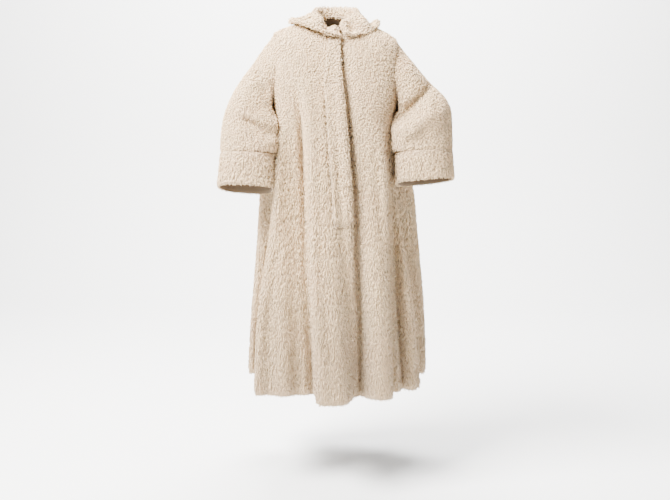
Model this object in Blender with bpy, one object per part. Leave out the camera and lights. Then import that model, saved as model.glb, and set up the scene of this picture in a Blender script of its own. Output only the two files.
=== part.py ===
"""A long faux shearling coat, hollow, in the form that it has when it is worn.

Nine cut pieces: two fronts that lap, a back, two sleeves with sewn-on cuffs, a rolled collar, and the strip
that is stitched along the right front's edge. Each is a closed wall as thick as the cloth with its pile.
Units are metres, +Z is up, -Y is the coat's front and +X is its left side.
The origin is the middle of the neck at the height of the shoulders, where the coat is carried.
"""
import math
from collections import namedtuple

import bmesh
import bpy
import numpy as np

# Cloth
WALL = 0.008                # backing and pile together
COLLAR_ROLL_WALL = 0.0065   # pressed thinner where the collar rolls over
COLLAR_EDGE_WALL = 0.014    # two layers thick at the collar's outer edge
STRIP_WALL = 0.004          # fly strip on the right front
SEAM_GAP = 0.0003           # between two pieces at a seam
LAP_CLEARANCE = 0.002       # between the right front's inside and the left front under it
LAP_RAMP = 0.045            # width over which the left front rises from under the lap

# Levels are row numbers of SECTIONS
SHOULDER_LEVEL = 2
UNDERARM_LEVEL = 5
HEM_LEVEL = 9

# Grid of the panels
YOKE_ROWS = 3           # neck to shoulder point
ARMHOLE_ROWS = 10       # shoulder point to underarm
SKIRT_ROWS = 12         # underarm to hem
LAP_COLUMNS = 4         # across the underlap
FRONT_COLUMNS = 20      # across the rest of a front
BACK_COLUMNS = 30

# Cut of the edges
ARMHOLE_DIP = 32.0      # degrees that the armhole is cut back from the side
ARMHOLE_ROUNDNESS = 0.75    # below 1, the armhole is rounder at the shoulder and under the arm
HAND_SLIT_DIP = 5.0     # degrees that the side seam gapes at the hand opening
HAND_SLIT_TOP = 5.75    # levels
HAND_SLIT_BOTTOM = 6.85
CORNER_RADIUS = 0.055   # lower front corners
SKIRT_LEVEL_HEIGHT = 0.245  # height of one level at the hem
STRIP_FIRST_ROW = 1     # rows of the right front that the strip covers
STRIP_LAST_ROW = 18
STRIP_COLUMNS = 3

SIDE_FRONT_SIN = 0.02   # sine of the angle where a section starts to widen towards the back
SIDE_BACK_SIN = 0.62    # and where it has its full back width

# One row for each level section: half width in front, half widths behind at the right and the left side,
# depths from the middle, heights at side, front and back, how much lower the left side hangs,
# squareness of the outline, x of the right front's edge, width of the underlap
Section = namedtuple("Section", "half_width right_back left_back front back side_z front_z back_z left_drop "
                                "squareness edge_x underlap")
SECTIONS = (
    # neck
    Section(0.072, 0.072, 0.072, 0.075, 0.060, 0.004, -0.040, 0.020, 0.000, 2.0, 0.012, 0.030),
    # middle of the shoulder
    Section(0.125, 0.125, 0.125, 0.110, 0.090, -0.014, -0.070, -0.010, 0.007, 2.3, 0.014, 0.045),
    # shoulder point
    Section(0.198, 0.198, 0.198, 0.136, 0.120, -0.040, -0.128, -0.075, 0.018, 2.6, 0.018, 0.060),
    # chest
    Section(0.214, 0.214, 0.214, 0.152, 0.145, -0.115, -0.210, -0.170, 0.010, 3.2, 0.021, 0.076),
    # middle of the armhole
    Section(0.213, 0.213, 0.213, 0.161, 0.155, -0.205, -0.290, -0.270, 0.000, 3.4, 0.031, 0.080),
    # underarm
    Section(0.198, 0.212, 0.214, 0.167, 0.165, -0.315, -0.370, -0.365, 0.000, 3.2, 0.037, 0.080),
    # cuffs
    Section(0.196, 0.326, 0.354, 0.177, 0.188, -0.530, -0.545, -0.545, 0.000, 2.8, 0.050, 0.080),
    # hip
    Section(0.213, 0.331, 0.373, 0.192, 0.212, -0.725, -0.730, -0.730, 0.000, 2.6, 0.061, 0.080),
    # knee
    Section(0.243, 0.341, 0.388, 0.215, 0.242, -0.965, -0.975, -0.970, 0.000, 2.4, 0.080, 0.080),
    # hem
    Section(0.264, 0.350, 0.376, 0.235, 0.275, -1.205, -1.216, -1.213, 0.000, 2.2, 0.089, 0.080),
)

# One row for each fold of the body: angle where it starts and at the hem, half width in degrees,
# sharpness of its sides, rise at the hem (negative for a valley), level where it starts
Fold = namedtuple("Fold", "start_angle hem_angle half_width sharpness rise start_level")
FOLDS = (
    Fold(214, 212, 10, 2, 0.044, 5.0),      # ridge at the right front's side
    Fold(232, 249, 9, 2, -0.050, 4.2),      # valley beside it
    Fold(248, 269, 14, 4, 0.050, 3.6),      # wide lobe of the right front's edge
    Fold(294, 291, 8, 2, -0.042, 4.6),      # valley of the left front beside the lap
    Fold(312, 306, 11, 4, 0.034, 4.0),      # left front's middle lobe
    Fold(326, 322, 7, 2, -0.040, 4.4),      # left front's second valley
    Fold(338, 342, 9, 2, 0.034, 5.4),       # ridge at the left front's side
    Fold(2, 0, 9, 2, -0.012, 5.6),          # left side, under the arm
    Fold(22, 22, 9, 2, 0.020, 6.0),         # back's left side lobe
    Fold(40, 42, 9, 2, -0.018, 5.6),        # back folds
    Fold(58, 60, 10, 2, 0.022, 5.2),
    Fold(76, 78, 9, 2, -0.020, 5.6),
    Fold(96, 98, 11, 2, 0.024, 5.0),
    Fold(116, 117, 9, 2, -0.020, 5.4),
    Fold(136, 136, 10, 2, 0.018, 5.6),
    Fold(158, 160, 9, 2, 0.012, 6.0),       # back's right side lobe
    Fold(180, 184, 9, 2, -0.012, 5.6),      # right side, under the arm
)
FOLD_GROWTH = 1.3       # power by which a fold grows from its start to the hem

# One row for each ring of a sleeve: outer edge, inner edge, half depth, middle in depth,
# and how far the back hangs below the front
Ring = namedtuple("Ring", "over_x over_z under_x under_z half_depth centre_y back_drop")
RIGHT_ARM = (
    Ring(0.198, -0.040, 0.198, -0.315, 0.112, -0.003, 0.000),   # armhole
    Ring(0.232, -0.088, 0.213, -0.302, 0.113, -0.008, 0.000),
    Ring(0.266, -0.142, 0.217, -0.308, 0.113, -0.014, 0.000),
    Ring(0.303, -0.190, 0.209, -0.320, 0.112, -0.022, 0.000),
    Ring(0.338, -0.248, 0.205, -0.337, 0.110, -0.031, 0.000),   # elbow
    Ring(0.360, -0.304, 0.203, -0.357, 0.108, -0.040, 0.002),
    Ring(0.371, -0.362, 0.202, -0.386, 0.106, -0.048, 0.005),
    Ring(0.374, -0.430, 0.202, -0.436, 0.106, -0.054, 0.009),   # cuff seam
    Ring(0.385, -0.545, 0.202, -0.556, 0.107, -0.060, 0.020),   # cuff hem
)
LEFT_ARM = (
    Ring(0.198, -0.058, 0.198, -0.315, 0.112, -0.003, 0.000),   # armhole
    Ring(0.226, -0.100, 0.213, -0.302, 0.113, -0.008, 0.000),
    Ring(0.264, -0.150, 0.217, -0.308, 0.113, -0.014, 0.000),
    Ring(0.312, -0.206, 0.209, -0.320, 0.112, -0.022, 0.000),
    Ring(0.354, -0.246, 0.205, -0.337, 0.110, -0.031, 0.000),   # elbow
    Ring(0.378, -0.290, 0.203, -0.357, 0.108, -0.040, 0.002),
    Ring(0.382, -0.352, 0.202, -0.386, 0.106, -0.048, 0.005),
    Ring(0.383, -0.420, 0.202, -0.431, 0.106, -0.054, 0.007),   # cuff seam
    Ring(0.389, -0.518, 0.203, -0.536, 0.107, -0.060, 0.014),   # cuff hem
)
CUFF_RING = 7
CUFF_HEM_RING = 8
SLEEVE_RINGS = 18       # rings from armhole to cuff seam
CUFF_RINGS = 4
ARMHOLE_FADE = 2.0      # rings over which a sleeve leaves the armhole's own outline
SLEEVE_SQUARENESS = 2.4
SLEEVE_WRAP = 0.022     # how far a sleeve's front reaches in over the body
WRAP_START = 2.6        # rings between which it comes to do so
WRAP_END = 5.2

# One row for each fold across a sleeve's front: ring at its outer and inner end, half width in rings, rise
SleeveFold = namedtuple("SleeveFold", "outer_ring inner_ring half_width rise")
RIGHT_SLEEVE_FOLDS = (
    SleeveFold(2.4, 4.4, 0.8, -0.010),
    SleeveFold(3.6, 5.4, 0.8, 0.011),
    SleeveFold(4.8, 6.0, 0.6, -0.008),
)
LEFT_SLEEVE_FOLDS = (
    SleeveFold(2.6, 5.0, 0.7, -0.015),
    SleeveFold(3.8, 6.4, 0.8, 0.016),
)

# One row for each station round the collar: angle, then radius and height of the roll, of the dip
# behind it and of the outer edge
Station = namedtuple("Station", "angle roll_r roll_z dip_r dip_z edge_r edge_z")
COLLAR_STATIONS = (
    Station(279, 0.089, -0.021, 0.107, -0.031, 0.127, -0.062),      # right front end
    Station(245, 0.083, -0.006, 0.112, -0.012, 0.142, -0.038),
    Station(215, 0.074, 0.025, 0.110, 0.012, 0.152, -0.009),
    Station(180, 0.069, 0.043, 0.107, 0.021, 0.156, 0.019),         # right shoulder
    Station(135, 0.069, 0.052, 0.106, 0.027, 0.146, 0.004),
    Station(90, 0.070, 0.056, 0.104, 0.029, 0.132, -0.008),         # nape
    Station(45, 0.069, 0.051, 0.106, 0.025, 0.142, -0.004),
    Station(0, 0.069, 0.040, 0.107, 0.013, 0.147, -0.002),          # left shoulder
    Station(-35, 0.074, 0.021, 0.110, 0.003, 0.146, -0.024),
    Station(-62, 0.082, -0.001, 0.111, -0.012, 0.136, -0.040),
    Station(-77, 0.089, -0.010, 0.111, -0.021, 0.127, -0.050),      # left front end
)
COLLAR_ROWS = 8
COLLAR_ROLL_SHARE = 0.5     # place of the roll between the seam and the edge
COLLAR_STAND_LEAN = 0.008   # the stand leans in by this much below the roll
COLLAR_STAND_SHARE = 0.55   # height of the stand's middle, as a share of the roll's
COLLAR_END_LEAN = 4.0       # degrees that the left end leans to the middle above its seam
COLLAR_END_TURN = 30.0      # degrees over which it does so

# Steps by which slopes are measured
SLOPE_STEP = 0.02       # in rows of a table
ANGLE_STEP = 0.5        # in degrees

# Looks
IVORY = (0.80, 0.72, 0.62, 1.0)
PILE_ROUGHNESS = 0.95
SHARP_ANGLE = 50.0      # degrees past which an edge is shaded sharp


def smooth(low, high, value):
    """Soft step from 0 at low to 1 at high."""
    share = min(max((value - low) / (high - low), 0.0), 1.0)
    return share * share * (3.0 - 2.0 * share)


def along(rows, position):
    """Row of a table at a fractional row number, on a smooth curve through the rows."""
    last = len(rows) - 1
    first = min(max(int(position), 0), last - 1)
    t = position - first
    p0 = np.array(rows[max(first - 1, 0)])
    p1 = np.array(rows[first])
    p2 = np.array(rows[first + 1])
    p3 = np.array(rows[min(first + 2, last)])
    linear = (p2 - p0) * t
    square = (2.0 * p0 - 5.0 * p1 + 4.0 * p2 - p3) * t ** 2
    cube = (3.0 * p1 - p0 - 3.0 * p2 + p3) * t ** 3
    return 0.5 * (2.0 * p1 + linear + square + cube)


def section_at(level):
    return Section(*along(SECTIONS, level))


def unit(vector):
    return vector / np.linalg.norm(vector)


def fold_rise(angle, level):
    """How far the folds lift the body's surface at an angle and a level."""
    rise = 0.0
    for fold in FOLDS:
        if level <= fold.start_level:
            continue
        share = (level - fold.start_level) / (HEM_LEVEL - fold.start_level)
        crest = fold.start_angle + (fold.hem_angle - fold.start_angle) * share
        turn = (angle - crest + 180.0) % 360.0 - 180.0
        rise += fold.rise * share ** FOLD_GROWTH * math.exp(-abs(turn / fold.half_width) ** fold.sharpness)
    return rise


def body_point(angle, level):
    """Outer surface of the body. The angle runs from the left side, by the back, in degrees."""
    section = section_at(level)
    cosine = math.cos(math.radians(angle))
    sine = math.sin(math.radians(angle))
    widening = smooth(SIDE_FRONT_SIN, SIDE_BACK_SIN, sine)
    back_half_width = section.left_back if cosine > 0.0 else section.right_back
    width = section.half_width + (back_half_width - section.half_width) * widening
    depth = section.back if sine > 0.0 else section.front
    middle_z = section.back_z if sine > 0.0 else section.front_z
    power = section.squareness
    reach = ((abs(cosine) / width) ** power + (abs(sine) / depth) ** power) ** (-1.0 / power)
    reach += fold_rise(angle, level)
    side_z = section.side_z - section.left_drop if cosine > 0.0 else section.side_z
    height = side_z * cosine ** 2 + middle_z * sine ** 2
    return np.array((reach * cosine, reach * sine, height))


def body_down(angle, level):
    """Direction down the cloth."""
    return unit(body_point(angle, level + SLOPE_STEP) - body_point(angle, level - SLOPE_STEP))


def body_normal(angle, level):
    """Direction out of the cloth."""
    around = body_point(angle + ANGLE_STEP, level) - body_point(angle - ANGLE_STEP, level)
    return unit(np.cross(body_down(angle, level), around))


def seam_angle(level):
    """Half a seam gap as an angle at the side."""
    return math.degrees(0.5 * SEAM_GAP / section_at(level).half_width)


def armhole_dip(level):
    """Degrees that a panel is cut back from the side at the armhole."""
    if not SHOULDER_LEVEL < level < UNDERARM_LEVEL:
        return 0.0
    share = (level - SHOULDER_LEVEL) / (UNDERARM_LEVEL - SHOULDER_LEVEL)
    return ARMHOLE_DIP * math.sin(math.pi * share) ** ARMHOLE_ROUNDNESS


def hand_slit_dip(level):
    """Degrees that a front is drawn back from the side seam at the hand opening."""
    if not HAND_SLIT_TOP < level < HAND_SLIT_BOTTOM:
        return 0.0
    share = (level - HAND_SLIT_TOP) / (HAND_SLIT_BOTTOM - HAND_SLIT_TOP)
    return HAND_SLIT_DIP * math.sin(math.pi * share)


def lap_edge_angle(level):
    """Free edge of the right front."""
    section = section_at(level)
    return 270.0 + math.degrees(math.atan2(section.edge_x, section.front))


def underlap_edge_angle(level):
    """Free edge of the left front, under the right one."""
    section = section_at(level)
    return 270.0 + math.degrees(math.atan2(section.edge_x - section.underlap, section.front))


def corner_raise(distance):
    """How much the hem rises, in levels, at a distance from a rounded lower corner."""
    if distance >= CORNER_RADIUS:
        return 0.0
    inset = CORNER_RADIUS - distance
    return (CORNER_RADIUS - math.sqrt(CORNER_RADIUS ** 2 - inset ** 2)) / SKIRT_LEVEL_HEIGHT


def row_levels(hem_level):
    """Levels of a panel's rows, from the neck to the hem."""
    yoke = [SHOULDER_LEVEL * k / YOKE_ROWS for k in range(YOKE_ROWS)]
    armhole_height = UNDERARM_LEVEL - SHOULDER_LEVEL
    armhole = [SHOULDER_LEVEL + armhole_height * k / ARMHOLE_ROWS for k in range(ARMHOLE_ROWS)]
    skirt_height = hem_level - UNDERARM_LEVEL
    skirt = [UNDERARM_LEVEL + skirt_height * k / SKIRT_ROWS for k in range(SKIRT_ROWS + 1)]
    return yoke + armhole + skirt


def right_front_angle(column, level):
    """Columns run from the side to the free edge."""
    lap_line = underlap_edge_angle(level)
    edge = lap_edge_angle(level)
    side = 180.0 + seam_angle(level) + armhole_dip(level) + hand_slit_dip(level)
    if column <= FRONT_COLUMNS:
        return side + (lap_line - side) * column / FRONT_COLUMNS
    return lap_line + (edge - lap_line) * (column - FRONT_COLUMNS) / LAP_COLUMNS


def left_front_angle(column, level):
    """Columns run from the edge under the lap to the side."""
    lap_line = underlap_edge_angle(level)
    edge = lap_edge_angle(level)
    side = 360.0 - seam_angle(level) - armhole_dip(level) - hand_slit_dip(level)
    if column <= LAP_COLUMNS:
        return lap_line + (edge - lap_line) * column / LAP_COLUMNS
    return edge + (side - edge) * (column - LAP_COLUMNS) / FRONT_COLUMNS


def back_angle(column, level):
    """Columns run from the left side to the right side."""
    side = seam_angle(level) + armhole_dip(level)
    return side + (180.0 - 2.0 * side) * column / BACK_COLUMNS


def underlap_depth(angle, level):
    """How far the left front lies inside the body's surface."""
    edge = lap_edge_angle(level)
    ramp = math.degrees(LAP_RAMP / section_at(level).front)
    return (WALL + LAP_CLEARANCE) * (1.0 - smooth(edge, edge + ramp, angle))


def panel_grids(columns, angle_of, free_edge=None, depth_of=None):
    """Outer points, inner points and downward directions of a body panel."""
    outer = []
    inner = []
    down = []
    rows = YOKE_ROWS + ARMHOLE_ROWS + SKIRT_ROWS + 1
    for row in range(rows):
        outer_row = []
        inner_row = []
        down_row = []
        for column in range(columns + 1):
            hem_level = HEM_LEVEL
            if free_edge is not None:
                turn = abs(angle_of(column, HEM_LEVEL) - free_edge(HEM_LEVEL))
                distance = math.radians(turn) * section_at(HEM_LEVEL).front
                hem_level = HEM_LEVEL - corner_raise(distance)
            level = row_levels(hem_level)[row]
            angle = angle_of(column, level)
            normal = body_normal(angle, level)
            point = body_point(angle, level)
            if depth_of is not None:
                point = point - normal * depth_of(angle, level)
            outer_row.append(point)
            inner_row.append(point - normal * WALL)
            down_row.append(body_down(angle, level))
        outer.append(outer_row)
        inner.append(inner_row)
        down.append(down_row)
    return np.array(outer), np.array(inner), np.array(down)


def cloth_material(name):
    """Ivory pile, the same on every piece."""
    material = bpy.data.materials.new(name)
    material.use_nodes = True
    shader = material.node_tree.nodes["Principled BSDF"]
    shader.inputs["Base Color"].default_value = IVORY
    shader.inputs["Roughness"].default_value = PILE_ROUGHNESS
    shader.inputs["Metallic"].default_value = 0.0
    return material


def add_wall(name, outer, inner, ring=False):
    """Closed wall between an outer and an inner grid. A ring's last column joins its first.

    The rims are split so that the facets of two pieces match along their seam.
    """
    rows, columns = outer.shape[:2]
    inner_start = rows * columns
    faces = []

    def add_quad(a, b, c, d):
        faces.append((a, b, c))
        faces.append((a, c, d))

    def corner(row, column):
        return row * columns + column % columns

    spans = columns if ring else columns - 1
    for row in range(rows - 1):
        for column in range(spans):
            a = corner(row, column)
            b = corner(row, column + 1)
            c = corner(row + 1, column + 1)
            d = corner(row + 1, column)
            add_quad(a, b, c, d)
            faces.append((inner_start + a, inner_start + c, inner_start + b))
            faces.append((inner_start + a, inner_start + d, inner_start + c))
    for row in (0, rows - 1):
        for column in range(spans):
            a = corner(row, column)
            b = corner(row, column + 1)
            if ring and 2 * column >= columns:
                add_quad(b, a, inner_start + a, inner_start + b)
            else:
                add_quad(a, b, inner_start + b, inner_start + a)
    if not ring:
        for column in (0, columns - 1):
            for row in range(rows - 1):
                a = corner(row, column)
                b = corner(row + 1, column)
                add_quad(a, b, inner_start + b, inner_start + a)

    points = np.concatenate((outer.reshape(-1, 3), inner.reshape(-1, 3)))
    mesh = bpy.data.meshes.new(name)
    mesh.from_pydata([tuple(point) for point in points], [], faces)
    form = bmesh.new()
    form.from_mesh(mesh)
    bmesh.ops.recalc_face_normals(form, faces=form.faces)
    form.to_mesh(mesh)
    form.free()
    mesh.shade_smooth()
    mesh.set_sharp_from_angle(angle=math.radians(SHARP_ANGLE))
    mesh.materials.append(cloth_material(name + "_pile"))
    piece = bpy.data.objects.new(name, mesh)
    bpy.context.scene.collection.objects.link(piece)
    return piece


def armhole_loop(side):
    """Outer and inner points round an armhole, from the shoulder by the front to the underarm and back."""
    levels = row_levels(HEM_LEVEL)[YOKE_ROWS:YOKE_ROWS + ARMHOLE_ROWS + 1]
    stations = [(-armhole_dip(level), level) for level in levels]
    stations += [(armhole_dip(level), level) for level in reversed(levels[1:-1])]
    points = []
    normals = []
    for turn, level in stations:
        angle = turn if side > 0 else 180.0 - turn
        points.append(body_point(angle, level))
        normals.append(body_normal(angle, level))
    middle = np.mean(points, axis=0)
    outer = []
    inner = []
    for point, normal in zip(points, normals):
        inward = middle - point
        inward = unit(inward - normal * np.dot(inward, normal))
        moved = point + inward * SEAM_GAP
        outer.append(moved)
        inner.append(moved - normal * WALL)
    return np.array(outer), np.array(inner)


def arm_ring(side, arm, folds, position, count):
    """Points of one ring of a sleeve, in the same order as the armhole's."""
    ring = Ring(*along(arm, position))
    over = np.array((side * ring.over_x, ring.over_z))
    under = np.array((side * ring.under_x, ring.under_z))
    middle = 0.5 * (over + under)
    half = 0.5 * (over - under)
    wrap = SLEEVE_WRAP * smooth(WRAP_START, WRAP_END, position)
    points = []
    for k in range(count):
        turn = 2.0 * math.pi * k / count
        power = 2.0 / SLEEVE_SQUARENESS
        across = math.copysign(abs(math.cos(turn)) ** power, math.cos(turn))
        front = math.copysign(abs(math.sin(turn)) ** power, math.sin(turn))
        depth = ring.half_depth
        if front > 0.0:
            share = turn / math.pi
            for fold in folds:
                crest = fold.outer_ring + (fold.inner_ring - fold.outer_ring) * share
                swell = math.exp(-((position - crest) / fold.half_width) ** 2)
                depth += fold.rise * swell * math.sin(turn)
        x, z = middle + half * across
        if front > 0.0:
            x += side * wrap * min(math.sin(2.0 * turn), 0.0)
        y = ring.centre_y - depth * front
        points.append((x, y, z + ring.back_drop * front))
    return np.array(points)


def arm_grids(side, arm, folds):
    """Outer and inner rings of a sleeve and of its cuff."""
    armhole_outer, armhole_inner = armhole_loop(side)
    count = len(armhole_outer)
    sleeve_positions = [CUFF_RING * k / SLEEVE_RINGS for k in range(SLEEVE_RINGS + 1)]
    cuff_length = CUFF_HEM_RING - CUFF_RING
    cuff_positions = [CUFF_RING + cuff_length * k / CUFF_RINGS for k in range(CUFF_RINGS + 1)]
    leave = armhole_outer - arm_ring(side, arm, folds, 0.0, count)

    def ring_at(position):
        stay = 1.0 - smooth(0.0, ARMHOLE_FADE, position)
        return arm_ring(side, arm, folds, position, count) + leave * stay

    def ring_directions(position):
        here = ring_at(position)
        around = np.roll(here, -1, axis=0) - np.roll(here, 1, axis=0)
        onward = ring_at(position + SLOPE_STEP) - ring_at(max(position - SLOPE_STEP, 0.0))
        normal = np.cross(around, onward) * side
        normal /= np.linalg.norm(normal, axis=1)[:, None]
        onward /= np.linalg.norm(onward, axis=1)[:, None]
        return here, normal, onward

    def grids(positions, first_shift, last_shift):
        outer = []
        inner = []
        for position in positions:
            here, normal, onward = ring_directions(position)
            if position == positions[0]:
                here = here + onward * first_shift
            if position == positions[-1]:
                here = here + onward * last_shift
            outer.append(here)
            inner.append(here - normal * WALL)
        return np.array(outer), np.array(inner)

    sleeve_outer, sleeve_inner = grids(sleeve_positions, 0.0, -0.5 * SEAM_GAP)
    sleeve_outer[0] = armhole_outer
    sleeve_inner[0] = armhole_inner
    cuff_outer, cuff_inner = grids(cuff_positions, 0.5 * SEAM_GAP, 0.0)
    return (sleeve_outer, sleeve_inner), (cuff_outer, cuff_inner)


def collar_station(angle):
    """Row of the collar's table at an angle, on a smooth curve through its rows."""
    angles = [station.angle for station in COLLAR_STATIONS]
    position = np.interp(-angle, [-a for a in angles], range(len(angles)))
    return Station(*along(COLLAR_STATIONS, position))


def collar_wall(share):
    """Thickness of the collar, from its seam by the roll to its outer edge."""
    if share < COLLAR_ROLL_SHARE:
        return WALL + (COLLAR_ROLL_WALL - WALL) * smooth(0.0, COLLAR_ROLL_SHARE, share)
    return COLLAR_ROLL_WALL + (COLLAR_EDGE_WALL - COLLAR_ROLL_WALL) * smooth(COLLAR_ROLL_SHARE, 1.0, share)


def collar_grids(right_front, back, left_front):
    """Top face and under face of the collar. Its stand covers the neckline's rim, then rolls over."""
    neckline = []
    for grids, columns in (
        (right_front, range(LAP_COLUMNS + FRONT_COLUMNS, 0, -1)),
        (back, range(BACK_COLUMNS, -1, -1)),
        (left_front, range(LAP_COLUMNS + FRONT_COLUMNS - 1, LAP_COLUMNS + 1, -1)),
    ):
        outer, inner, down = grids
        for column in columns:
            neckline.append((outer[0][column], inner[0][column], -down[0][column]))

    top_rows = [[] for _ in range(COLLAR_ROWS + 1)]
    under_rows = [[] for _ in range(COLLAR_ROWS + 1)]
    up = np.array((0.0, 0.0, 1.0))
    left_end = COLLAR_STATIONS[-1].angle
    for seam_outer, seam_inner, inward in neckline:
        angle = math.degrees(math.atan2(seam_outer[1], seam_outer[0]))
        if angle < left_end:
            angle += 360.0
        lean = COLLAR_END_LEAN * (1.0 - smooth(left_end, left_end + COLLAR_END_TURN, angle))
        turn = math.radians(angle - lean)
        outward = np.array((math.cos(turn), math.sin(turn), 0.0))
        station = collar_station(angle)
        for row, seam in ((0, seam_inner), (1, seam_outer)):
            under_rows[row].append(seam + inward * SEAM_GAP)
            top_rows[row].append(seam + inward * (SEAM_GAP + WALL))
        foot_r = np.dot(top_rows[1][-1], outward)
        foot_z = top_rows[1][-1][2]
        profile = (
            (foot_r, foot_z),
            (station.roll_r - COLLAR_STAND_LEAN, foot_z + (station.roll_z - foot_z) * COLLAR_STAND_SHARE),
            (station.roll_r, station.roll_z),
            (station.dip_r, station.dip_z),
            (station.edge_r, station.edge_z),
        )
        last = len(profile) - 1
        for row in range(2, COLLAR_ROWS + 1):
            share = (row - 1) / (COLLAR_ROWS - 1)
            r, z = along(profile, last * share)
            before = along(profile, last * share - SLOPE_STEP)
            after = along(profile, last * share + SLOPE_STEP)
            slope_r, slope_z = unit(after - before)
            wall = collar_wall(share)
            top_rows[row].append(outward * r + up * z)
            under_rows[row].append(outward * (r + slope_z * wall) + up * (z - slope_r * wall))
    return np.array(top_rows), np.array(under_rows)


def strip_grids(right_front):
    """Fly strip: points of the right front along its free edge, moved out."""
    outer, inner, _ = right_front
    last_column = LAP_COLUMNS + FRONT_COLUMNS
    rows = slice(STRIP_FIRST_ROW, STRIP_LAST_ROW + 1)
    columns = slice(last_column - STRIP_COLUMNS, last_column + 1)
    face = outer[rows, columns]
    normal = (face - inner[rows, columns]) / WALL
    return face + normal * (SEAM_GAP + STRIP_WALL), face + normal * SEAM_GAP


for old in list(bpy.data.objects):
    bpy.data.objects.remove(old, do_unlink=True)

front_columns = LAP_COLUMNS + FRONT_COLUMNS
right_front_grids = panel_grids(front_columns, right_front_angle, lap_edge_angle)
left_front_grids = panel_grids(front_columns, left_front_angle, underlap_edge_angle, underlap_depth)
back_grids = panel_grids(BACK_COLUMNS, back_angle)
add_wall("right_front", right_front_grids[0], right_front_grids[1])
add_wall("left_front", left_front_grids[0], left_front_grids[1])
add_wall("back", back_grids[0], back_grids[1])

for label, side, arm, folds in (
    ("right", -1.0, RIGHT_ARM, RIGHT_SLEEVE_FOLDS),
    ("left", 1.0, LEFT_ARM, LEFT_SLEEVE_FOLDS),
):
    sleeve, cuff = arm_grids(side, arm, folds)
    add_wall(label + "_sleeve", sleeve[0], sleeve[1], ring=True)
    add_wall(label + "_cuff", cuff[0], cuff[1], ring=True)

add_wall("collar", *collar_grids(right_front_grids, back_grids, left_front_grids))
add_wall("front_placket", *strip_grids(right_front_grids))
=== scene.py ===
"""Looks of the faux shearling coat: cloth shells on the frame's solids, with a pile of curled locks."""
import math

import bpy
import numpy as np
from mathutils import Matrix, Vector
from mathutils.bvhtree import BVHTree


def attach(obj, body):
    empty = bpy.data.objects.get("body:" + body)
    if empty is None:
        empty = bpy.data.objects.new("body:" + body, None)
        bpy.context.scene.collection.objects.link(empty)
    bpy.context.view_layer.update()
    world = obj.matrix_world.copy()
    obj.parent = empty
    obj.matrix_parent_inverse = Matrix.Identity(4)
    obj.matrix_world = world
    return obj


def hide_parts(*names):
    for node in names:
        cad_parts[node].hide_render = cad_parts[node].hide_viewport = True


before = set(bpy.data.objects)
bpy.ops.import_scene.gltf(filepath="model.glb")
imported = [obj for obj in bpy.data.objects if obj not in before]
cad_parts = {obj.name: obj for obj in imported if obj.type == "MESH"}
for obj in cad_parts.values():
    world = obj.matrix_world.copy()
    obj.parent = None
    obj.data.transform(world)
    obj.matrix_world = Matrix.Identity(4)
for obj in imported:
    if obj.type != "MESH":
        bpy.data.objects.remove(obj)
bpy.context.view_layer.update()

# Studio: a roll of pale paper that runs over the floor and bends up into the wall, so that no corner shows.
# Two big soft lamps stand in front on the left, a weak one on the right, and one lights the paper behind.
# The camera stands 3 m in front of the coat and looks slightly down.
floor_z = -1.51
paper_length = 12.0
paper_width = 16.0
paper_start = -5.0
paper_bend = 3.2            # where the paper begins to rise
bend_radius = 1.2
paper_colour = (0.90, 0.90, 0.895, 1.0)
bpy.ops.object.select_all(action="DESELECT")
bpy.ops.mesh.primitive_grid_add(x_subdivisions=2, y_subdivisions=60, size=1.0)
sweep = bpy.context.object
sweep.name = "paper_sweep"
for vertex in sweep.data.vertices:
    run = (vertex.co.y + 0.5) * paper_length + paper_start
    turn = min(max((run - paper_bend) / bend_radius, 0.0), math.pi / 2.0)
    rise = max(run - paper_bend - bend_radius * math.pi / 2.0, 0.0)
    vertex.co.x *= paper_width
    vertex.co.y = min(run, paper_bend) + bend_radius * math.sin(turn)
    vertex.co.z = floor_z + bend_radius * (1.0 - math.cos(turn)) + rise
bpy.ops.object.shade_smooth()
paper = bpy.data.materials.new("paper")
paper.use_nodes = True
paper_shader = paper.node_tree.nodes["Principled BSDF"]
paper_shader.inputs["Base Color"].default_value = paper_colour
paper_shader.inputs["Roughness"].default_value = 0.9
sweep.data.materials.append(paper)

camera_place = (0.0, -3.0, -0.422)
camera_tilt = math.radians(83.63)
bpy.ops.object.camera_add(location=camera_place, rotation=(camera_tilt, 0.0, 0.0))
camera = bpy.context.object
camera.data.sensor_width = 36.0
camera.data.lens = 48.12
bpy.context.scene.camera = camera

lamps = (
    # name, place, aim, size, power, colour
    ("left_lamp", (-1.7, -1.2, 1.8), (0.0, 0.0, 1.0), 1.7, 880.0, (1.0, 0.985, 0.96)),
    ("right_lamp", (2.4, -0.7, 1.3), (0.0, 0.0, -0.2), 1.8, 32.0, (1.0, 0.99, 0.98)),
    ("front_lamp", (-2.3, -2.1, 1.9), (0.0, 0.0, 0.4), 2.2, 230.0, (1.0, 0.99, 0.98)),
    ("sweep_lamp", (0.0, 1.6, 3.2), (0.0, 3.8, -0.2), 2.6, 1000.0, (1.0, 1.0, 1.0)),
)
for name, place, aim, size, power, colour in lamps:
    bpy.ops.object.light_add(type="AREA", location=place)
    lamp = bpy.context.object
    lamp.name = name
    lamp.data.size = size
    lamp.data.energy = power
    lamp.data.color = colour
    lamp.rotation_euler = (Vector(aim) - Vector(place)).to_track_quat("-Z", "Y").to_euler()
world = bpy.data.worlds.new("studio_world")
world.use_nodes = True
world_light = world.node_tree.nodes["Background"]
world_light.inputs["Color"].default_value = (1.0, 1.0, 1.0, 1.0)
world_light.inputs["Strength"].default_value = 0.15
bpy.context.scene.world = world

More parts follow.
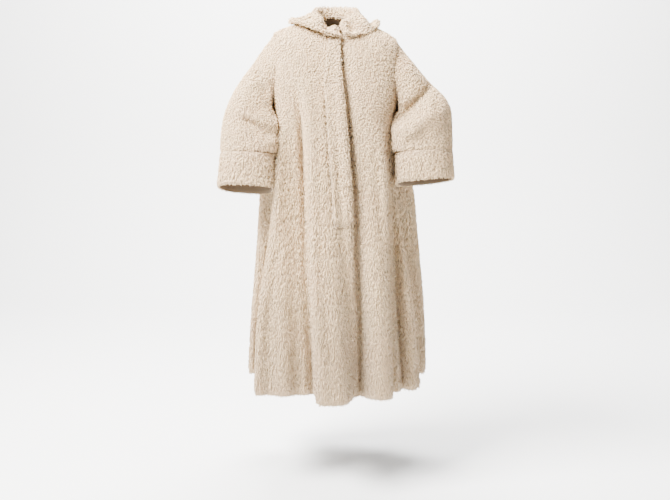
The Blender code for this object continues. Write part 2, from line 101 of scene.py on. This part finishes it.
# Right front: the coat's right panel, cut from a knitted backing with a curly cream pile on its outer side.
# It is sewn to the back at shoulder and side, hangs in soft folds and laps over the left front.
draw_in = 0.0025            # the backing lies this far inside the solid on each side
merge_gap = 0.00001
sharp_edge = math.radians(50.0)
quad_shape = math.radians(60.0)
inside_facing = -0.15       # faces turned further in than this are the inside of the coat


def points_of(mesh):
    """Places and normals of a mesh's points, one row each."""
    places = np.empty(len(mesh.vertices) * 3)
    mesh.vertices.foreach_get("co", places)
    normals = np.empty(len(mesh.vertices) * 3)
    mesh.vertices.foreach_get("normal", normals)
    return places.reshape(-1, 3), normals.reshape(-1, 3)


def unit_rows(rows):
    """Rows scaled to a length of one."""
    return rows / np.maximum(np.linalg.norm(rows, axis=1, keepdims=True), 1e-9)


def outward_from_body(centres):
    """Away from the upright line down the middle of the coat's body."""
    return unit_rows(centres * np.array([1.0, 1.0, 0.0]))


def select_only(item):
    """Leaves one object selected and active."""
    bpy.ops.object.select_all(action="DESELECT")
    bpy.context.view_layer.objects.active = item
    item.select_set(True)


def tone_material(name, root_colour, tip_colour, roughness):
    """Pile colour: darker at the roots, lighter at the tips, with soft patches."""
    material = bpy.data.materials.new(name)
    material.use_nodes = True
    nodes = material.node_tree.nodes
    links = material.node_tree.links
    shader = nodes["Principled BSDF"]
    shader.inputs["Roughness"].default_value = roughness
    shader.inputs["Sheen Weight"].default_value = 0.25
    shader.inputs["Sheen Roughness"].default_value = 0.5
    shader.inputs["Specular IOR Level"].default_value = 0.15
    tip = nodes.new("ShaderNodeAttribute")
    tip.attribute_name = "tip"
    blend = nodes.new("ShaderNodeMix")
    blend.data_type = "RGBA"
    blend.inputs["A"].default_value = (*root_colour, 1.0)
    blend.inputs["B"].default_value = (*tip_colour, 1.0)
    links.new(tip.outputs["Fac"], blend.inputs["Factor"])
    place = nodes.new("ShaderNodeTexCoord")
    patches = nodes.new("ShaderNodeTexNoise")
    patches.inputs["Scale"].default_value = 9.0
    patches.inputs["Detail"].default_value = 3.0
    links.new(place.outputs["Object"], patches.inputs["Vector"])
    tint = nodes.new("ShaderNodeMix")
    tint.data_type = "RGBA"
    tint.inputs["A"].default_value = (1.0, 0.95, 0.93, 1.0)
    tint.inputs["B"].default_value = (0.97, 1.0, 0.95, 1.0)
    links.new(patches.outputs["Fac"], tint.inputs["Factor"])
    tinted = nodes.new("ShaderNodeMix")
    tinted.data_type = "RGBA"
    tinted.blend_type = "MULTIPLY"
    tinted.inputs["Factor"].default_value = 1.0
    links.new(blend.outputs["Result"], tinted.inputs["A"])
    links.new(tint.outputs["Result"], tinted.inputs["B"])
    tone = nodes.new("ShaderNodeAttribute")
    tone.attribute_name = "tone"
    toned = nodes.new("ShaderNodeHueSaturation")
    links.new(tone.outputs["Fac"], toned.inputs["Value"])
    links.new(tinted.outputs["Result"], toned.inputs["Color"])
    links.new(toned.outputs["Color"], shader.inputs["Base Color"])
    return material


def painted_shade_backing_material(name, dark_colour, light_colour):
    """Knitted backing: fine rows of loops, warmer than the pile, and darkened as painted shade for the
    coat's shadowed inside.
    """
    material = bpy.data.materials.new(name)
    material.use_nodes = True
    nodes = material.node_tree.nodes
    links = material.node_tree.links
    shader = nodes["Principled BSDF"]
    shader.inputs["Roughness"].default_value = 0.95
    shader.inputs["Specular IOR Level"].default_value = 0.1
    place = nodes.new("ShaderNodeTexCoord")
    loops = nodes.new("ShaderNodeTexWave")
    loops.inputs["Scale"].default_value = 110.0
    loops.inputs["Distortion"].default_value = 3.0
    loops.inputs["Detail"].default_value = 2.0
    links.new(place.outputs["Object"], loops.inputs["Vector"])
    shade = nodes.new("ShaderNodeMix")
    shade.data_type = "RGBA"
    shade.inputs["A"].default_value = (*dark_colour, 1.0)
    shade.inputs["B"].default_value = (*light_colour, 1.0)
    links.new(loops.outputs["Fac"], shade.inputs["Factor"])
    links.new(shade.outputs["Result"], shader.inputs["Base Color"])
    bump = nodes.new("ShaderNodeBump")
    bump.inputs["Strength"].default_value = 0.4
    bump.inputs["Distance"].default_value = 0.001
    links.new(loops.outputs["Fac"], bump.inputs["Height"])
    links.new(bump.outputs["Normal"], shader.inputs["Normal"])
    return material


# The backing is a warm tan darkened well below its own colour, as painted shade for the shadowed inside of
# the coat and cuffs.
painted_shade_backing = painted_shade_backing_material("painted_shade_backing", dark_colour=(0.13, 0.092, 0.056), light_colour=(0.20, 0.145, 0.095))
pile_looks = tone_material("cream_pile", root_colour=(0.46, 0.335, 0.215),
                           tip_colour=(0.93, 0.688, 0.405), roughness=0.9)


def cloth_from_solid(node_name, piece_name, outward, inset=draw_in):
    """The cloth: a merged, rounded copy of a solid, drawn in on both sides.

    Faces that point against outward get the backing; with None the pile's colour is all round.
    """
    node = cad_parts[node_name]
    mesh = node.data.copy()
    mesh.transform(node.matrix_world)
    mesh.materials.clear()
    cloth = bpy.data.objects.new(piece_name, mesh)
    bpy.context.collection.objects.link(cloth)
    select_only(cloth)
    bpy.ops.object.mode_set(mode="EDIT")
    bpy.ops.mesh.select_mode(type="EDGE")
    bpy.ops.mesh.select_all(action="SELECT")
    bpy.ops.mesh.remove_doubles(threshold=merge_gap)
    bpy.ops.mesh.tris_convert_to_quads(face_threshold=sharp_edge, shape_threshold=quad_shape)
    bpy.ops.mesh.normals_make_consistent(inside=False)
    bpy.ops.transform.shrink_fatten(value=-inset)
    bpy.ops.mesh.select_all(action="DESELECT")
    bpy.ops.mesh.edges_select_sharp(sharpness=sharp_edge)
    bpy.ops.transform.edge_crease(value=1.0)
    bpy.ops.object.mode_set(mode="OBJECT")
    rounding = cloth.modifiers.new("rounding", "SUBSURF")
    rounding.levels = 1
    rounding.render_levels = 1
    bpy.ops.object.modifier_apply(modifier="rounding")
    bpy.ops.object.shade_smooth()
    mesh.materials.append(pile_looks)
    mesh.materials.append(painted_shade_backing)
    for name, value in (("tip", 0.0), ("tone", 1.0)):
        layer = mesh.attributes.new(name, "FLOAT", "POINT")
        layer.data.foreach_set("value", np.full(len(mesh.vertices), value))
    if outward is not None:
        middles = np.array([face.center for face in mesh.polygons])
        normals = np.array([face.normal for face in mesh.polygons])
        inside = np.sum(normals * outward(middles), axis=1) < inside_facing
        mesh.polygons.foreach_set("material_index", inside.astype(np.int32))
    return cloth


def cloth_tree(cloth):
    """A search tree of a cloth's own faces."""
    return BVHTree.FromPolygons([vertex.co for vertex in cloth.data.vertices],
                                [face.vertices for face in cloth.data.polygons])


view_distance = 2.0         # creases are sighted from this far in front of the coat or behind it
crease_layer = 0.04         # a crease fades out over this depth, so that one layer of the cloth moves
crease_hold = 1.6           # it is at full strength up to 0.6 of that depth and gone at 1.6 of it
crease_ends = 5.0           # it reaches its full strength at a fifth of its length from each end
width_wave = (0.2, 7.0)     # the share by which its width varies, and how fast along it
depth_wave = (0.25, 11.0)   # the same for its depth
full_turn = 6.28            # both waves start anywhere in a full turn


def press_creases(cloth, creases):
    """Moves the cloth beside each crease's line of (x, z) places, seen from the front or the back.

    The push goes sideways, towards the viewer and up. Both sides of the cloth move together, the crease
    fades out at its ends, and its width and depth vary along it.
    """
    for seen, line, width, push, seed in creases:
        places = points_of(cloth.data)[0]
        away = 1.0 if seen == "front" else -1.0
        tree = cloth_tree(cloth)
        met = {}
        for i, (x, z) in enumerate(line):
            hit = tree.ray_cast(Vector((x, -view_distance * away, z)), Vector((0.0, away, 0.0)))[0]
            if hit is not None:
                met[i] = hit.y
        depths = np.interp(range(len(line)), list(met.keys()), list(met.values()))
        flat = places[:, [0, 2]]
        stops = np.array(line)
        lengths = np.linalg.norm(np.diff(stops, axis=0), axis=1)
        starts = np.concatenate(([0.0], np.cumsum(lengths)))
        gap = np.full(len(places), np.inf)
        along = np.zeros(len(places))
        for a, b, length, start in zip(stops, stops[1:], lengths, starts):
            share = np.clip((flat - a) @ (b - a) / (length * length), 0.0, 1.0)
            here = np.linalg.norm(flat - a - share[:, None] * (b - a), axis=1)
            nearer = here < gap
            gap = np.where(nearer, here, gap)
            along = np.where(nearer, start + share * length, along)
        off_layer = np.abs(places[:, 1] - np.interp(along, starts, depths))
        layer = np.clip(crease_hold - off_layer / crease_layer, 0.0, 1.0)
        along /= starts[-1]
        wander = np.random.default_rng(seed).uniform(0.0, full_turn, 2)
        reach = width * (1.0 + width_wave[0] * np.sin(width_wave[1] * along + wander[0]))
        ends = np.minimum(1.0, np.minimum(crease_ends * along, crease_ends * (1.0 - along)))
        uneven = 1.0 + depth_wave[0] * np.sin(depth_wave[1] * along + wander[1])
        trough = np.cos(0.5 * math.pi * np.minimum(gap / reach, 1.0)) ** 2
        amount = layer * ends * uneven * trough
        places[:, 0] += push[0] * amount
        places[:, 1] -= away * push[1] * amount
        places[:, 2] += push[2] * amount
        cloth.data.vertices.foreach_set("co", places.reshape(-1))
        cloth.data.update()


def solid_tree(*node_names):
    """A search tree of the named solids' triangles."""
    corners = []
    triangles = []
    for name in node_names:
        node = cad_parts[name]
        node.data.calc_loop_triangles()
        start = len(corners)
        corners.extend(node.matrix_world @ vertex.co for vertex in node.data.vertices)
        triangles.extend([start + i for i in triangle.vertices] for triangle in node.data.loop_triangles)
    return BVHTree.FromPolygons(corners, triangles)


front_locks = 61000.0       # locks of pile on a square metre that shows in front
# One lock, on the upper coat and with what is added down the skirt, where the pile is longer and straighter.
lock_length = (0.0090, 0.0125)
length_spread = (0.75, 1.25)
lock_thickness = (0.0018, -0.0005)
thickness_spread = (0.8, 1.2)
tone_spread = 0.06              # locks differ this much in lightness
comb_jitter = 0.02              # gives locks on level cloth a direction too
comb_wander = (0.45, -0.27)     # radians that the comb's direction wanders in patches
patch_size = 0.022
lock_turn = (0.40, -0.27)       # radians that each lock turns by itself
lock_curl = (0.65, -0.38)       # and bends half way along
lock_stand = (22.0, 50.0)       # degrees off the cloth at the root
skirt_flatter = 17.0
lock_droop = (-16.0, 6.0)       # degrees off the cloth at the tip
root_part = 0.5                 # the lock's length up to its thickest place
tip_part = 0.55                 # and from there to the tip
root_depth = 0.0012             # the root starts this far inside the cloth
skirt_top = -0.35
skirt_blend = 0.25
lock_shades = (0.0, 0.6, 0.6, 0.6, 1.0)     # from the root's colour to the tip's, for the lock's five points
painted_shade_top = -0.72                 # below this the locks are painted darker, as painted shade where the light falls off towards the hem
painted_shade_blend = 0.40
# Painted shade: how far the locks at the hem are blended towards their darker root colour.
hem_painted_shade = 0.6
gentle_bend = 0.75              # on sharper bends than this, locks follow the flat face they stand on
cover_clear = 0.0005            # the search for a covering solid starts this far above the own one
cover_reach = 0.016             # and reaches this far
edge_reach = 0.0055             # tips further from the cloth than this stand past its edge and are cut
edge_cut = (0.45, -0.15)
seam_reach = 0.03               # locks are cut to half their length along a seam
seam_start = 0.003
seam_blend = 0.007


def turned(along, side, angles):
    """Directions in the cloth, turned sideways by the angles."""
    return along * np.cos(angles)[:, None] + side * np.sin(angles)[:, None]


def slow_wave(places, size, shift):
    """A smooth value from -1 to 1 that changes over about that size."""
    scaled = places / size + shift
    wave = (np.sin(scaled[:, 0] * 3.1 + 1.3 * np.sin(scaled[:, 2] * 2.3))
            + np.sin(scaled[:, 1] * 2.7 + 1.7 * np.sin(scaled[:, 0] * 1.9 + scaled[:, 2]))
            + np.sin(scaled[:, 2] * 2.9 + 1.1 * np.sin(scaled[:, 1] * 2.1)))
    return wave / 3.0


def scatter_roots(cloth, density, chance, low, high):
    """Evenly strewn places on a cloth's pile side between two heights, each with the way up from it."""
    mesh = cloth.data
    mesh.calc_loop_triangles()
    places, normals = points_of(mesh)
    corners = np.empty(len(mesh.loop_triangles) * 3, dtype=np.int32)
    mesh.loop_triangles.foreach_get("vertices", corners)
    corners = corners.reshape(-1, 3)
    a, b, c = places[corners[:, 0]], places[corners[:, 1]], places[corners[:, 2]]
    faces = np.cross(b - a, c - a)
    heights = (a + b + c)[:, 2] / 3.0
    sides = np.empty(len(mesh.loop_triangles), dtype=np.int32)
    mesh.loop_triangles.foreach_get("material_index", sides)
    keep = (sides == 0) & (heights >= low) & (heights < high)
    area = np.where(keep, 0.5 * np.linalg.norm(faces, axis=1), 0.0)
    count = int(area.sum() * density)
    steps = (np.arange(count) + chance.random(count)) / count
    chosen = np.searchsorted(np.cumsum(area) / area.sum(), steps)
    chosen = np.minimum(chosen, len(area) - 1)
    u = chance.random((count, 2))
    flip = u.sum(axis=1) > 1.0
    u[flip] = 1.0 - u[flip]
    weights = np.column_stack((1.0 - u.sum(axis=1), u[:, 0], u[:, 1]))
    roots = np.einsum("ij,ijk->ik", weights, places[corners[chosen]])
    smooth_normals = np.einsum("ij,ijk->ik", weights, normals[corners[chosen]])
    true_normals = unit_rows(faces[chosen])
    gentle = np.sum(smooth_normals * true_normals, axis=1) > gentle_bend
    return roots, unit_rows(np.where(gentle[:, None], smooth_normals, true_normals))


def locks_mesh(piece_name, points):
    """One mesh of spindles, each from five points: the root, three round the middle, and the tip."""
    count = len(points)
    pattern = np.array([[0, 2, 1], [0, 3, 2], [0, 1, 3], [4, 1, 2], [4, 2, 3], [4, 3, 1]])
    triangles = (pattern[None] + 5 * np.arange(count)[:, None, None]).reshape(-1, 3)
    mesh = bpy.data.meshes.new(piece_name)
    mesh.vertices.add(count * 5)
    mesh.vertices.foreach_set("co", points.reshape(-1))
    mesh.loops.add(len(triangles) * 3)
    mesh.loops.foreach_set("vertex_index", triangles.reshape(-1).astype(np.int32))
    mesh.polygons.add(len(triangles))
    mesh.polygons.foreach_set("loop_start", np.arange(0, len(triangles) * 3, 3, dtype=np.int32))
    mesh.update(calc_edges=True)
    return mesh


def grow_pile(piece_name, cloth, covered_by, density, seed, low=-math.inf, high=math.inf,
              comb=None, beside=None, size=1.0):
    """Curled locks on the outer side of a cloth.

    They are left out where the covering pieces lie on it, and short along the seam with the piece beside it.
    """
    chance = np.random.default_rng(seed)
    roots, ups = scatter_roots(cloth, density, chance, low, high)
    if covered_by is not None:
        bare = np.ones(len(roots), dtype=bool)
        for i in range(len(roots)):
            start = Vector(roots[i] + ups[i] * (draw_in + cover_clear))
            bare[i] = covered_by.ray_cast(start, Vector(ups[i]), cover_reach)[0] is None
        roots, ups = roots[bare], ups[bare]
    count = len(roots)
    fall = np.array([[0.0, 0.0, -1.0]]) if comb is None else comb(roots)
    along = fall - ups * np.sum(fall * ups, axis=1, keepdims=True)
    along = unit_rows(along + comb_jitter * chance.normal(size=(count, 3)))
    side = np.cross(ups, along)
    skirt = np.clip((skirt_top - roots[:, 2]) / skirt_blend, 0.0, 1.0)
    length = size * (lock_length[0] + lock_length[1] * skirt) * chance.uniform(*length_spread, count)
    if beside is not None:
        gaps = np.array([beside.find_nearest(Vector(root), seam_reach)[3] or seam_reach for root in roots])
        length *= 0.5 + 0.5 * np.clip((gaps - seam_start) / seam_blend, 0.0, 1.0)
    thick = (lock_thickness[0] + lock_thickness[1] * skirt) * chance.uniform(*thickness_spread, count)
    wave = slow_wave(roots, patch_size, seed) * (comb_wander[0] + comb_wander[1] * skirt)
    turn = wave + chance.normal(0.0, lock_turn[0] + lock_turn[1] * skirt, count)
    curl = chance.normal(0.0, lock_curl[0] + lock_curl[1] * skirt, count)
    stand = np.radians(chance.uniform(*lock_stand, count) - skirt_flatter * skirt)
    droop = np.radians(chance.uniform(*lock_droop, count))
    first = turned(along, side, turn) * np.cos(stand)[:, None] + ups * np.sin(stand)[:, None]
    second = turned(along, side, turn + curl) * np.cos(droop)[:, None] + ups * np.sin(droop)[:, None]
    full = roots + first * (root_part * length)[:, None] + second * (tip_part * length)[:, None]
    own = cloth_tree(cloth)
    overhang = np.array([own.find_nearest(Vector(tip))[3] for tip in full])
    length *= np.where(overhang > edge_reach * size, edge_cut[0] + edge_cut[1] * skirt, 1.0)
    middle = roots + first * (root_part * length)[:, None]
    across = unit_rows(np.cross(first, ups))
    up = np.cross(across, first)
    points = np.empty((count, 5, 3))
    points[:, 0] = roots - ups * root_depth
    for k in range(3):
        angle = 2.0 * math.pi * k / 3.0 + math.pi / 6.0
        points[:, 1 + k] = middle + (across * math.cos(angle) + up * math.sin(angle)) * thick[:, None]
    points[:, 4] = middle + second * (tip_part * length)[:, None]
    mesh = locks_mesh(piece_name, points)
    # Painted shade: towards the hem the locks' colour slides towards their darker root colour, standing in
    # for the light falling off.
    hem_shade_share = np.clip((painted_shade_top - roots[:, 2]) / painted_shade_blend, 0.0, 1.0)
    tip_blend_and_hem_shade = np.array([lock_shades]) * (1.0 - hem_painted_shade * hem_shade_share)[:, None]
    tip = mesh.attributes.new("tip", "FLOAT", "POINT")
    tip.data.foreach_set("value", tip_blend_and_hem_shade.reshape(-1))
    tone = mesh.attributes.new("tone", "FLOAT", "POINT")
    tone.data.foreach_set("value", np.repeat(chance.normal(1.0, tone_spread, count), 5))
    mesh.materials.append(pile_looks)
    pile = bpy.data.objects.new(piece_name, mesh)
    bpy.context.collection.objects.link(pile)
    select_only(pile)
    bpy.ops.object.shade_smooth()
    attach(pile, "root")
    return pile


def sew_on(cloth, node_name):
    """Hangs the cloth on the body it moves with and hides the solid that it stands for."""
    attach(cloth, "root")
    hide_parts(node_name)


fold_foot = [(-0.126, -0.195), (-0.104, -0.328), (-0.098, -0.523), (-0.089, -0.803),
             (-0.074, -1.086), (-0.070, -1.50)]
valley = [(-0.150, -0.190), (-0.126, -0.320), (-0.122, -0.600), (-0.126, -0.900), (-0.116, -1.60)]
fold_top = [(-0.102, -0.195), (-0.080, -0.329), (-0.072, -0.522), (-0.063, -0.796),
            (-0.044, -1.068), (-0.038, -1.50)]
side_edge = [(-0.179, -0.311), (-0.187, -0.620), (-0.220, -0.849), (-0.235, -1.00), (-0.250, -1.50)]
lap_edge = [(0.008, -0.06), (0.010, -0.141), (0.018, -0.313), (0.031, -0.447), (0.040, -0.579),
            (0.043, -0.705), (0.053, -0.864), (0.060, -1.00), (0.063, -1.40)]
strip_seam = [(-0.027, -0.141), (-0.025, -0.232), (-0.016, -0.447), (-0.009, -0.547), (0.000, -0.659)]
armhole = [(-0.215, -0.16), (-0.200, -0.27), (-0.190, -0.36)]
lap_crease = ("front", lap_edge, 0.024, (0.003, 0.009, 0.0), 4)
right_front_creases = (
    # seen from, line, width, push, seed
    ("front", fold_foot, 0.028, (0.0, -0.026, 0.0), 1),
    ("front", valley, 0.058, (0.0, -0.028, 0.0), 34),
    ("front", fold_top, 0.028, (-0.009, 0.014, 0.0), 2),
    ("front", side_edge, 0.024, (-0.010, 0.020, 0.0), 3),
    lap_crease,
    ("front", strip_seam, 0.011, (0.0, -0.008, 0.0), 5),
    ("front", armhole, 0.03, (0.0, -0.008, 0.0), 6),
)
right_front = cloth_from_solid("right_front", "right_front_cloth", outward_from_body)
press_creases(right_front, right_front_creases)
right_front_pile = grow_pile("right_front_pile", right_front, solid_tree("front_placket", "collar"),
                             front_locks, seed=11)
sew_on(right_front, "right_front")

# Left front: the left panel, of the same pile cloth, sewn to the back at shoulder and side.
# It runs on under the right front's edge, where the lap presses it in, and hangs in one deep fold.
under_lap = [(0.030, -0.153), (0.042, -0.313), (0.052, -0.447), (0.061, -0.548), (0.066, -0.675),
             (0.076, -0.853), (0.085, -1.032), (0.083, -1.40)]
left_fold_top = [(0.142, -0.328), (0.156, -0.580), (0.168, -0.776), (0.194, -1.191), (0.200, -1.50)]
left_fold_foot = [(0.169, -0.327), (0.185, -0.583), (0.195, -0.777), (0.220, -1.192), (0.224, -1.50)]
left_side_edge = [(0.178, -0.345), (0.205, -0.650), (0.235, -0.850), (0.250, -1.00), (0.258, -1.45)]
left_armhole = [(0.205, -0.16), (0.198, -0.27), (0.192, -0.36)]
left_front_creases = (
    # seen from, line, width, push, seed
    ("front", under_lap, 0.022, (0.0, -0.018, 0.0), 7),
    ("front", left_fold_top, 0.026, (0.010, 0.014, 0.0), 8),
    ("front", left_fold_foot, 0.024, (0.0, -0.032, 0.0), 9),
    ("front", left_side_edge, 0.022, (0.006, 0.012, 0.0), 10),
    ("front", left_armhole, 0.03, (0.0, -0.008, 0.0), 11),
)
left_front = cloth_from_solid("left_front", "left_front_cloth", outward_from_body)
press_creases(left_front, left_front_creases)
left_front_pile = grow_pile("left_front_pile", left_front, solid_tree("right_front", "collar"),
                            front_locks, seed=12)
sew_on(left_front, "left_front")

# Back: one wide panel of the same pile cloth without a seam down its middle.
# It is sewn to the fronts at shoulders and sides, falls back behind their edges at the sides, and flares
# into soft folds. Its pile is made in two parts, one below the other.
beside_front = [(-0.205, -0.62), (-0.240, -0.85), (-0.260, -1.05), (-0.275, -1.50)]
beside_left_front = [(0.210, -0.60), (0.250, -0.85), (0.275, -1.05), (0.285, -1.50)]
right_flare = [(-0.235, -0.60), (-0.258, -0.90), (-0.270, -1.10), (-0.275, -1.60)]
left_flare = [(0.240, -0.60), (0.262, -0.90), (0.280, -1.10), (0.285, -1.60)]
right_upper_fold = [(-0.15, -0.14), (-0.165, -0.28), (-0.15, -0.42)]
left_upper_fold = [(0.15, -0.15), (0.17, -0.30), (0.16, -0.43)]
right_back_fold = [(-0.10, -0.55), (-0.12, -0.85), (-0.15, -1.50)]
left_back_fold = [(0.06, -0.50), (0.07, -0.85), (0.10, -1.50)]
middle_ridge = [(-0.03, -0.60), (-0.03, -0.90), (-0.04, -1.50)]
back_creases = (
    # seen from, line, width, push, seed
    ("front", beside_front, 0.03, (0.0, -0.045, 0.0), 26),
    ("front", beside_left_front, 0.03, (0.0, -0.03, 0.0), 27),
    ("front", right_flare, 0.06, (-0.008, 0.0, 0.0), 35),
    ("front", left_flare, 0.06, (0.012, 0.0, 0.0), 36),
    ("back", right_upper_fold, 0.04, (0.0, -0.008, 0.0), 12),
    ("back", left_upper_fold, 0.04, (0.0, -0.008, 0.0), 13),
    ("back", right_back_fold, 0.036, (0.0, -0.030, 0.0), 14),
    ("back", left_back_fold, 0.036, (0.0, -0.030, 0.0), 15),
    ("back", middle_ridge, 0.036, (0.0, 0.014, 0.0), 16),
)
back_locks = 44000.0        # locks of pile on a square metre of the back
pile_split = -0.62
back = cloth_from_solid("back", "back_cloth", outward_from_body)
press_creases(back, back_creases)
back_upper_pile = grow_pile("back_upper_pile", back, solid_tree("collar"), back_locks, seed=13,
                            low=pile_split)
back_lower_pile = grow_pile("back_lower_pile", back, None, back_locks, seed=14, high=pile_split)
sew_on(back, "back")

# Right sleeve: a wide set-in sleeve of the same pile cloth, one tube closed by a seam underneath.
# It is sewn into the armhole, with drag folds across its bend and its inner side against the coat's body.
right_sleeve_middle = ((-0.20, 0.0, -0.18), (-0.26, -0.02, -0.25), (-0.29, -0.045, -0.40),
                       (-0.295, -0.06, -0.60))


def outward_from_sleeve(middle_line):
    """Away from the line down the middle of a sleeve."""
    line = np.array(middle_line)

    def outward(centres):
        aways = []
        for a, b in zip(line, line[1:]):
            share = np.clip((centres - a) @ (b - a) / np.dot(b - a, b - a), 0.0, 1.0)
            aways.append(centres - (a + share[:, None] * (b - a)))
        aways = np.array(aways)
        nearest = np.argmin(np.linalg.norm(aways, axis=2), axis=0)
        return unit_rows(aways[nearest, np.arange(len(centres))])

    return outward


upper_drag = [(-0.258, -0.17), (-0.240, -0.215), (-0.228, -0.27)]
elbow_drag = [(-0.300, -0.31), (-0.250, -0.345), (-0.212, -0.39)]
elbow_ridge = [(-0.310, -0.345), (-0.255, -0.38), (-0.215, -0.42)]
against_body = [(-0.222, -0.20), (-0.217, -0.31), (-0.212, -0.45)]
shoulder_tip = [(-0.225, -0.075), (-0.205, -0.066), (-0.185, -0.057)]
elbow_back = [(-0.30, -0.24), (-0.27, -0.31), (-0.24, -0.36)]
right_sleeve_creases = (
    # seen from, line, width, push, seed
    ("front", upper_drag, 0.025, (0.0, -0.014, 0.0), 17),
    ("front", elbow_drag, 0.022, (0.0, -0.012, 0.0), 18),
    ("front", elbow_ridge, 0.026, (0.0, 0.007, 0.0), 19),
    ("front", against_body, 0.05, (0.024, 0.0, 0.0), 20),
    ("front", shoulder_tip, 0.03, (0.005, 0.0, 0.004), 40),
    ("back", elbow_back, 0.03, (0.0, -0.009, 0.0), 21),
)
right_outward = outward_from_sleeve(right_sleeve_middle)
right_sleeve = cloth_from_solid("right_sleeve", "right_sleeve_cloth", right_outward)
press_creases(right_sleeve, right_sleeve_creases)
right_sleeve_pile = grow_pile("right_sleeve_pile", right_sleeve, solid_tree("right_front", "back"),
                              front_locks, seed=15, beside=solid_tree("right_cuff"))
sew_on(right_sleeve, "right_sleeve")

# Left sleeve: the other set-in sleeve, of the same pile cloth and closed by a seam underneath.
# It is sewn into the armhole, with one strong fold from its bend to the side of the coat's body.
left_sleeve_middle = ((0.20, 0.0, -0.18), (0.26, -0.02, -0.25), (0.295, -0.045, -0.40),
                      (0.30, -0.06, -0.60))
left_elbow_fold = [(0.325, -0.195), (0.253, -0.271), (0.213, -0.355)]
left_elbow_ridge = [(0.335, -0.235), (0.275, -0.306), (0.222, -0.395)]
left_against_body = [(0.220, -0.20), (0.216, -0.31), (0.210, -0.45)]
left_shoulder_tip = [(0.225, -0.092), (0.205, -0.082), (0.185, -0.073)]
left_elbow_back = [(0.31, -0.24), (0.27, -0.31), (0.24, -0.36)]
left_sleeve_creases = (
    # seen from, line, width, push, seed
    ("front", left_elbow_fold, 0.022, (0.0, -0.018, 0.0), 22),
    ("front", left_elbow_ridge, 0.030, (0.0, 0.012, 0.0), 23),
    ("front", left_against_body, 0.05, (-0.024, 0.0, 0.0), 24),
    ("front", left_shoulder_tip, 0.03, (-0.005, 0.0, 0.004), 41),
    ("back", left_elbow_back, 0.03, (0.0, -0.009, 0.0), 25),
)
left_outward = outward_from_sleeve(left_sleeve_middle)
left_sleeve = cloth_from_solid("left_sleeve", "left_sleeve_cloth", left_outward)
press_creases(left_sleeve, left_sleeve_creases)
left_sleeve_pile = grow_pile("left_sleeve_pile", left_sleeve, solid_tree("left_front", "back"),
                             front_locks, seed=16, beside=solid_tree("left_cuff"))
sew_on(left_sleeve, "left_sleeve")

# Right cuff: a straight band of the same pile cloth, closed to a ring and sewn to the sleeve's end.
# The pile is short along that seam, which shows as a line, and the open lower end shows the backing inside,
# darkened there as painted shade.
right_cuff = cloth_from_solid("right_cuff", "right_cuff_cloth", right_outward)
right_cuff_pile = grow_pile("right_cuff_pile", right_cuff, None, front_locks, seed=17,
                            beside=solid_tree("right_sleeve"))
sew_on(right_cuff, "right_cuff")

# Left cuff: the same band of pile cloth, a little narrower, closed to a ring.
# It is sewn to the left sleeve's end in the same way.
left_cuff = cloth_from_solid("left_cuff", "left_cuff_cloth", left_outward)
left_cuff_pile = grow_pile("left_cuff_pile", left_cuff, None, front_locks, seed=18,
                           beside=solid_tree("left_sleeve"))
sew_on(left_cuff, "left_cuff")

# Collar: one wide band of the same pile cloth, folded over, with the pile on both of its sides.
# It is sewn to the neckline, stands up round the opening and rolls over onto the shoulders in two wings.
neck_edge = [(-0.052, -0.012), (-0.018, -0.030), (0.004, -0.036), (0.045, -0.044)]
left_neck_edge = [(0.085, 0.000), (0.050, -0.022), (0.025, -0.030), (0.005, -0.036)]
right_roll = [(-0.135, 0.005), (-0.108, 0.018), (-0.085, 0.028), (-0.060, 0.036)]
left_roll = [(0.075, 0.035), (0.097, 0.016), (0.110, 0.008), (0.130, -0.004)]
left_wing_edge = [(0.150, -0.022), (0.115, -0.030), (0.075, -0.040), (0.035, -0.046)]
right_wing_tip = [(-0.175, 0.03), (-0.150, 0.015), (-0.110, 0.0)]
left_wing_tip = [(0.165, 0.02), (0.140, 0.005), (0.100, -0.01)]
collar_creases = (
    # seen from, line, width, push, seed
    ("front", neck_edge, 0.026, (0.0, 0.0, -0.026), 28),
    ("front", left_neck_edge, 0.034, (-0.010, 0.0, -0.018), 29),
    ("front", right_roll, 0.028, (0.0, 0.0, -0.016), 37),
    ("front", left_roll, 0.024, (0.0, 0.0, -0.018), 38),
    ("back", right_roll, 0.028, (0.0, 0.0, -0.016), 37),
    ("back", left_roll, 0.024, (0.0, 0.0, -0.018), 38),
    ("front", left_wing_edge, 0.034, (0.0, -0.002, -0.019), 39),
    ("front", right_wing_tip, 0.04, (0.006, 0.0, -0.014), 30),
    ("front", left_wing_tip, 0.04, (-0.003, 0.0, -0.014), 31),
)
collar_lock_size = 1.4      # its pile is fluffier than that of the panels
collar_fall = (0.0, 0.0, -0.5)


def comb_from_neck(roots):
    """The pile of the collar lies away from the neck opening and down."""
    return unit_rows(outward_from_body(roots) + np.array(collar_fall))


collar = cloth_from_solid("collar", "collar_cloth", None)
press_creases(collar, collar_creases)
collar_pile = grow_pile("collar_pile", collar, None, front_locks, seed=19, comb=comb_from_neck,
                        size=collar_lock_size)
sew_on(collar, "collar")

# Front placket: a narrow strip of the same pile cloth along the right front's edge.
# It is stitched down on its inner side and across its foot, and follows the lap's edge.
strip_draw_in = 0.0006      # the strip is thin, so it is drawn in less than the panels
strip_fall = (0.3, 0.0, -0.95)


def comb_to_edge(roots):
    """The strip's pile lies towards the front edge and down."""
    return np.tile([strip_fall], (len(roots), 1))


front_placket = cloth_from_solid("front_placket", "front_placket_cloth", outward_from_body, strip_draw_in)
press_creases(front_placket, (lap_crease,))
front_placket_pile = grow_pile("front_placket_pile", front_placket, solid_tree("collar"), front_locks,
                               seed=20, comb=comb_to_edge)
sew_on(front_placket, "front_placket")
